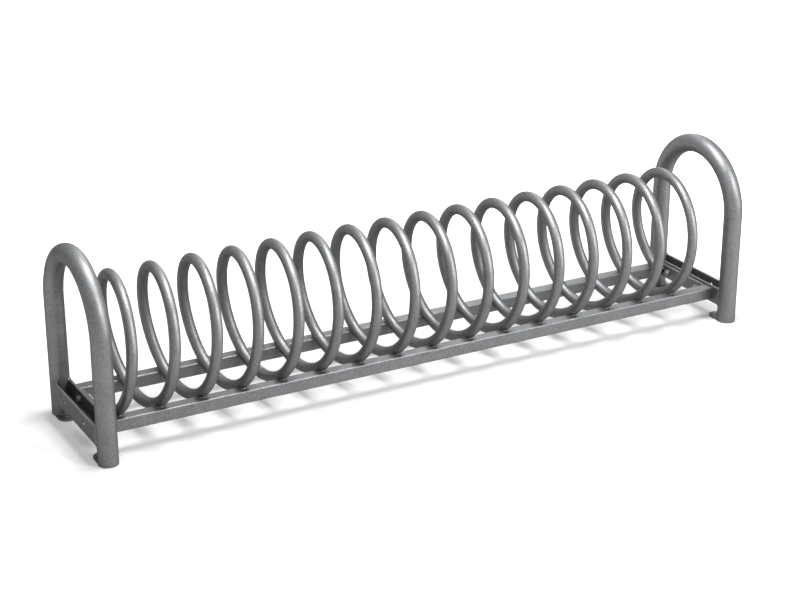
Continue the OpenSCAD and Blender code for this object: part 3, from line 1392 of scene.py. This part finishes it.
@dataclass
class EndJoint:
    """The end bar between the rails, and the bolts, washers and nuts that hold it to the channel."""

    frame: EndFrame
    bolt_radius: float = 0.006
    thread_pitch: float = 0.00175
    thread_depth: float = 0.0009
    thread_length: float = 0.02
    rows_per_pitch: int = 8
    thread_sides: int = 36
    head_sides: int = 6
    flats: float = 0.018
    chamfer_share: float = 0.95
    chamfer_angle: float = math.radians(30)
    nut_clear: float = 0.0001
    nut_lip: float = 0.0007
    washer_bore: float = 0.0065
    washer_rim_share: float = 1 / 6
    washer_sides: int = 56
    bar_round: float = 0.001
    bar_round_steps: int = 4
    bar_low: Vector = field(init=False)
    bar_high: Vector = field(init=False)
    bolts: Box = field(init=False)
    washers: Box = field(init=False)
    nuts: Box = field(init=False)

    def __post_init__(self) -> None:
        """Reads the places of the bar and the fasteners from the frame."""
        label = self.frame.end.label
        self.bar_low, self.bar_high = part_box(f"{label}_end_bar")
        self.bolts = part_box(f"{label}_bolts")
        self.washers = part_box(f"{label}_washers")
        self.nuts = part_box(f"{label}_nuts")

    def build_bar(self, coat: Material) -> None:
        """Makes the end bar with its two bolt holes.

        Args:
            coat: the finish.
        """
        size = self.bar_high - self.bar_low
        middle = (self.bar_low + self.bar_high) / 2
        outline = rounded_box(size.x / 2, size.z / 2, self.bar_round, self.bar_round_steps)
        place = towards_front(middle.x, self.bar_high.y, middle.z)
        bar = Bench.prism(f"{self.frame.end.label}_flat_bar", outline, size.y, place)
        holes = [self.frame.bolt_cutter(side, middle.z) for side in Side]
        bar = Bench.even_shading(Bench.cut(bar, holes))
        bar.data.materials.append(coat)
        Bench.hand_over(bar, Slot.COAT, [f"{self.frame.end.label}_end_bar"])

    def hexagon(self, height: float, drop: bool, upward: bool) -> Ring:
        """One of the two rings of a hexagon's skin.

        Args:
            height: the height of the hexagon's face next to this ring.
            drop: True where a turned chamfer takes the corners off.
            upward: True at the upper face, and False at the lower one.

        Returns:
            The ring.
        """
        across, half_side = self.flats / 2, math.pi / self.head_sides

        def ring(turn: float) -> tuple[float, float]:
            """Follows the hexagon, and leaves the face's height where its corners are.

            Args:
                turn: the angle about the axis.

            Returns:
                The radius and the height there.
            """
            radius = across / math.cos((turn + half_side) % (2 * half_side) - half_side)
            excess = radius - self.chamfer_share * across
            lost = excess * math.tan(self.chamfer_angle) if drop else 0.0
            return radius, height - lost if upward else height + lost

        return ring

    def threaded(self, height: float, length: float) -> Ring:
        """A ring of a bolt's thread, which also narrows at the tip.

        Args:
            height: the ring's height.
            length: the shank's length.

        Returns:
            The ring.
        """
        start = length - self.thread_length

        def ring(turn: float) -> tuple[float, float]:
            """Follows the groove round the shank.

            Args:
                turn: the angle about the axis.

            Returns:
                The radius and the height there.
            """
            phase = ((height - start) / self.thread_pitch - turn / FULL_TURN) % 1.0
            groove = self.thread_depth * (1 - abs(2 * phase - 1))
            tip = self.bolt_radius - max(0.0, height - (length - self.thread_depth))
            return min(self.bolt_radius - groove, tip), height

        return ring

    def bolt_rings(self, length: float, head: float) -> list[Ring]:
        """The skin of a hexagon bolt, from its head below the origin to the thread's tip above it.

        Args:
            length: the shank's length.
            head: the head's height.

        Returns:
            The rings.
        """
        start = length - self.thread_length
        rows = round(self.thread_length / self.thread_pitch * self.rows_per_pitch)
        heights = [start + self.thread_length * (k + 1) / rows for k in range(rows)]
        return [
            even_ring(self.chamfer_share * self.flats / 2, -head),
            self.hexagon(-head, drop=True, upward=False),
            self.hexagon(0.0, drop=False, upward=True),
            even_ring(self.bolt_radius, 0.0),
            even_ring(self.bolt_radius, start),
            *[self.threaded(height, length) for height in heights],
        ]

    def nut_rings(self, height: float) -> list[Ring]:
        """The skin of a hexagon nut that stands on the origin, round its bore.

        Args:
            height: the nut's height.

        Returns:
            The rings.
        """
        bore, lip = self.bolt_radius + self.nut_clear, self.nut_lip
        face = self.chamfer_share * self.flats / 2
        return [
            even_ring(bore, lip),
            even_ring(bore + lip, 0.0),
            even_ring(face, 0.0),
            self.hexagon(0.0, drop=True, upward=False),
            self.hexagon(height, drop=True, upward=True),
            even_ring(face, height),
            even_ring(bore + lip, height),
            even_ring(bore, height - lip),
        ]

    def washer_rings(self, radius: float, base: float, thickness: float) -> list[Ring]:
        """The skin of a plain washer with rounded rims, round its bore.

        Args:
            radius: the washer's radius.
            base: the height of its lower face.
            thickness: its thickness.

        Returns:
            The rings.
        """
        rim, top, bore = thickness * self.washer_rim_share, base + thickness, self.washer_bore
        corners = [
            (bore, base + rim), (bore + rim, base), (radius - rim, base), (radius, base + rim),
            (radius, top - rim), (radius - rim, top), (bore + rim, top), (bore, top - rim),
        ]
        return [even_ring(*corner) for corner in corners]

    def lay_out(self, name: str, template: Object, out: float, node: str, kit: Kit) -> None:
        """Puts a copy of a template on both bolt axes.

        Args:
            name: the new piece's name.
            template: the fastener, whose +Z goes from the channel to the rails. It is used up.
            out: how far from the stand's middle the template's origin goes.
            node: the frame's node that the piece replaces.
            kit: the node trees and the finishes.
        """
        row = Bench.blank(name)
        outward, bolt_y = self.frame.end.value, self.frame.bolt_y
        Bench.run(
            row, kit.trees.row_of_copies, Template=template, Count=len(Side),
            Start=(outward * out, -bolt_y, self.frame.bolt_z), Step=(0.0, 2 * bolt_y, 0.0),
            Turn=Euler((0.0, -outward * math.pi / 2, 0.0)), Finish=kit.zinc,
        )
        row = Bench.even_shading(row)
        bpy.data.objects.remove(template)
        Bench.hand_over(row, Slot.ZINC, [node])

    def build_fasteners(self, kit: Kit) -> None:
        """Makes the bolts, washers and nuts of this end.

        Args:
            kit: the node trees and the finishes.
        """
        label = self.frame.end.label
        bolt_in, bolt_out = self.span(self.bolts)
        washer_in, washer_out = self.span(self.washers)
        nut_in, nut_out = self.span(self.nuts)
        thickness = self.span((self.bar_low, self.bar_high))[0] - washer_in
        radius = (self.washers[1].z - self.washers[0].z) / 2
        rings = [self.bolt_rings(washer_out - bolt_in, bolt_out - washer_out)]
        bolt = Bench.turned("bolt", rings, self.thread_sides, hollow=False)
        self.lay_out(f"{label}_hex_bolts", bolt, washer_out, f"{label}_bolts", kit)
        nut = Bench.turned("nut", [self.nut_rings(nut_out - nut_in)], self.thread_sides, hollow=True)
        self.lay_out(f"{label}_hex_nuts", nut, nut_out, f"{label}_nuts", kit)
        bases = (0.0, washer_out - washer_in - thickness)
        pair = [self.washer_rings(radius, base, thickness) for base in bases]
        washers = Bench.turned("washers", pair, self.washer_sides, hollow=True)
        self.lay_out(f"{label}_plain_washers", washers, washer_out, f"{label}_washers", kit)

    @staticmethod
    def span(box: Box) -> tuple[float, float]:
        """How near the stand's middle a box comes, and how far out it reaches."""
        near, far = sorted((abs(box[0].x), abs(box[1].x)))
        return near, far

    def bar_seams(self) -> list[list[Vector]]:
        """The upright lines along which the end bar's inner face meets the rails.

        Returns:
            The lines, each from its lower end to its upper one.
        """
        x = min(self.bar_low.x, self.bar_high.x, key=abs)
        low, high = self.bar_low.z + self.bar_round, self.bar_high.z - self.bar_round
        return [[Vector((x, y, low)), Vector((x, y, high))] for y in (self.bar_low.y, self.bar_high.y)]

    def build(self, kit: Kit) -> None:
        """Makes the bar and its fasteners."""
        self.build_bar(kit.coat)
        self.build_fasteners(kit)


@dataclass
class Welds:
    """The weld beads of the whole stand, under the coat."""

    kit: Kit
    bead_radius: float = 0.0036
    butt_radius: float = 0.0022
    # How deep a butt weld sinks into the tube, as a share of its radius.
    butt_sink: float = 0.55
    butt_points: int = 32
    ripple_spacing: float = 0.0032
    ripple_depth: float = 0.34
    wander: float = 0.5
    seed: float = 11.0

    def lay(
        self, name: str, seams: Sequence[Sequence[Vector]], radius: float, closed: bool,
        copies: int = 1, step: float = 0.0,
    ) -> None:
        """Lays a bead along each seam.

        Args:
            name: the piece's name.
            seams: the lines that the beads follow.
            radius: the bead's radius.
            closed: True if each line closes on itself.
            copies: how many times the seams repeat along the stand.
            step: the distance between the copies.
        """
        bead = Bench.curve(name, seams, closed)
        Bench.run(
            bead, self.kit.trees.weld_bead, Copies=copies, Step=(step, 0.0, 0.0), Bead_Radius=radius,
            Ripple_Spacing=self.ripple_spacing, Ripple_Depth=self.ripple_depth, Wander=self.wander,
            Seed=self.seed, Finish=self.kit.coat,
        )
        Bench.hand_over(Bench.bake(bead), Slot.COAT)

    def build(self, coil: Coil, rails: Sequence[GroundRail], joints: Sequence[EndJoint]) -> None:
        """Lays every bead of the stand.

        Args:
            coil: the coil, which is welded to the rails and at its own joints.
            rails: both rails.
            joints: the joints of both ends, with their end frames.
        """
        bead, butt = self.bead_radius, self.butt_radius
        for rail in rails:
            name = f"{rail.side.label}_coil_welds"
            self.lay(name, [rail.seam()], bead, closed=True, copies=coil.crest_count, step=coil.pitch)
        reach = coil.tube_radius - butt * self.butt_sink
        rings = [coil.around(angle, reach, self.butt_points) for angle in coil.joint_angles()]
        self.lay("coil_butt_welds", rings, butt, closed=True)
        for joint in joints:
            label = joint.frame.end.label
            self.lay(f"{label}_channel_welds", joint.frame.channel_seams(), bead, closed=True)
            self.lay(f"{label}_lug_welds", joint.frame.lug_seams(), bead, closed=False)
            self.lay(f"{label}_bar_welds", joint.bar_seams(), bead, closed=False)


@dataclass(frozen=True)
class Softbox:
    """A square soft studio lamp. Its azimuth turns from the front, -Y, to the right, +X, in degrees."""

    name: str
    azimuth: float
    elevation: float
    distance: float
    size: float
    watts: float

    def build(self, target: Vector) -> None:
        """Hangs the lamp.

        Args:
            target: the point that it looks at.
        """
        azimuth, elevation = math.radians(self.azimuth), math.radians(self.elevation)
        level = math.cos(elevation)
        away = Vector((math.sin(azimuth) * level, -math.cos(azimuth) * level, math.sin(elevation)))
        lamp = bpy.data.lights.new(self.name, "AREA")
        lamp.shape = "SQUARE"
        lamp.size = self.size
        lamp.energy = self.watts
        hung = Bench.link(self.name, lamp)
        hung.location = target + away * self.distance
        hung.rotation_euler = (-away).to_track_quat("-Z", "Y").to_euler()


@dataclass
class Studio:
    """A pale floor with a painted glow that fades the stand's shadow out, soft lamps, a white surround
    and the camera.
    """

    floor_half_size: float = 30.0
    floor_drop: float = 0.0003
    floor_colour: tuple[float, float, float] = (0.42, 0.42, 0.42)
    floor_roughness: float = 0.9
    # Painted light: the floor glows this much under the stand, and glows up to white between two shares
    # of the shadow's reach, which fades the stand's shadow out there.
    floor_lift: float = 0.25
    shadow_reach: tuple[float, float] = (1.75, 1.5)
    shadow_fade: tuple[float, float] = (0.6, 1.0)
    # How strong the white surround is as a light, when it looks 1 strong.
    surround_light: float = 0.3
    camera_place: tuple[float, float, float] = (-2.6691, -4.7473, 2.4114)
    # Degrees, from the back, +Y, to the right, and from level downwards.
    camera_heading: float = 28.926
    camera_pitch: float = 21.938
    camera_lens: float = 84.14
    camera_sensor: float = 36.0
    target: Vector = field(default_factory=lambda: Vector((0.0, 0.0, 0.25)))
    lamps: tuple[Softbox, ...] = (
        Softbox("overhead softbox", azimuth=90, elevation=84.6, distance=3.16, size=1.5, watts=215),
        Softbox("left overhead softbox", azimuth=-90, elevation=75, distance=3.4, size=1.6, watts=50),
        Softbox("right front softbox", azimuth=30, elevation=35, distance=8.0, size=2.4, watts=680),
        Softbox("low front softbox", azimuth=44, elevation=8, distance=9.0, size=2.2, watts=300),
        Softbox("right back softbox", azimuth=145, elevation=28, distance=8.0, size=2.4, watts=210),
    )

    @staticmethod
    def _seen(wiring: Wiring) -> NodeSocket:
        """What only the eye meets.

        Args:
            wiring: the wiring of a surface or of the world.

        Returns:
            1 for what the camera, a mirror or a glass sees, and 0 for what lights the stand.
        """
        path = wiring.add("ShaderNodeLightPath")
        first = wiring.math("MAXIMUM", path.outputs["Is Camera Ray"], path.outputs["Is Glossy Ray"])
        return wiring.math("MAXIMUM", first, path.outputs["Is Transmission Ray"])

    def build_surround(self) -> None:
        """Makes the world white to look at, and a soft even light on the stand."""
        world = bpy.data.worlds.new("white surround")
        bpy.context.scene.world = world
        world.use_nodes = True
        wiring = Wiring(world.node_tree)
        lift = wiring.math("MULTIPLY", self._seen(wiring), 1.0 - self.surround_light)
        background = world.node_tree.nodes["Background"]
        wiring.feed(background.inputs["Strength"], wiring.math("ADD", lift, self.surround_light))
        background.inputs["Color"].default_value = (1.0, 1.0, 1.0, 1.0)

    def paper(self) -> Material:
        """The floor's finish, whose painted glow rises to plain white beyond the shadow's reach and fades
        the shadow out.

        Returns:
            The material.
        """
        made = bpy.data.materials.new("white paper floor")
        made.use_nodes = True
        wiring = Wiring(made.node_tree)
        place = wiring.add("ShaderNodeTexCoord").outputs["Object"]
        shrink = (1 / self.shadow_reach[0], 1 / self.shadow_reach[1], 1.0)
        stretched = wiring.take("ShaderNodeVectorMath", {0: place, 1: shrink}, operation="MULTIPLY")
        length = wiring.add("ShaderNodeVectorMath", {0: stretched}, operation="LENGTH")
        near, far = self.shadow_fade
        # Painted light: a glow seen by the camera and in reflections, low under the stand and rising to
        # white farther out, where it fades the stand's shadow.
        lift = wiring.take("ShaderNodeMapRange", {
            "Value": length.outputs["Value"], "From Min": near, "From Max": far,
            "To Min": self.floor_lift, "To Max": 1.0,
        }, interpolation_type="SMOOTHSTEP")
        shader = made.node_tree.nodes["Principled BSDF"]
        for label, value in (
            ("Base Color", (*self.floor_colour, 1.0)),
            ("Roughness", self.floor_roughness),
            ("Specular IOR Level", 0.0),
            ("Emission Color", (1.0, 1.0, 1.0, 1.0)),
            ("Emission Strength", wiring.math("MULTIPLY", self._seen(wiring), lift)),
        ):
            wiring.feed(shader.inputs[label], value)
        return made

    def build_floor(self) -> None:
        """Makes a pale floor that keeps the stand's shadow near it, where its painted glow is low."""
        half = self.floor_half_size

        def build(work: BMesh) -> None:
            """Fills the floor's mesh."""
            corners = [(-half, -half), (half, -half), (half, half), (-half, half)]
            work.faces.new([work.verts.new((x, y, -self.floor_drop)) for x, y in corners])

        floor = Bench.mesh("studio_floor", build)
        floor.data.materials.append(self.paper())

    def build_camera(self) -> None:
        """Puts the camera close to where the photograph was taken from."""
        camera = Bench.link("camera", bpy.data.cameras.new("camera"))
        camera.location = self.camera_place
        tilt, heading = math.radians(90 - self.camera_pitch), math.radians(-self.camera_heading)
        camera.rotation_euler = (tilt, 0.0, heading)
        camera.data.lens = self.camera_lens
        camera.data.sensor_width = self.camera_sensor
        bpy.context.scene.camera = camera

    def build(self) -> None:
        """Sets up the whole studio."""
        self.build_surround()
        self.build_floor()
        for lamp in self.lamps:
            lamp.build(self.target)
        self.build_camera()
        bpy.context.scene.view_settings.view_transform = "Standard"


def main() -> None:
    """Builds the studio and dresses the stand."""
    logging.basicConfig(level=logging.INFO, format="%(name)s: %(message)s")
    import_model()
    Studio().build()
    kit = Kit()
    coil = Coil()
    coil.build(kit)
    rails = [GroundRail(side, coil) for side in Side]
    for rail in rails:
        rail.build(kit)
    joints = [EndJoint(EndFrame(end)) for end in End]
    for joint in joints:
        joint.frame.build(kit)
        joint.build(kit)
    Welds(kit).build(coil, rails, joints)


if __name__ == "__main__":
    main()
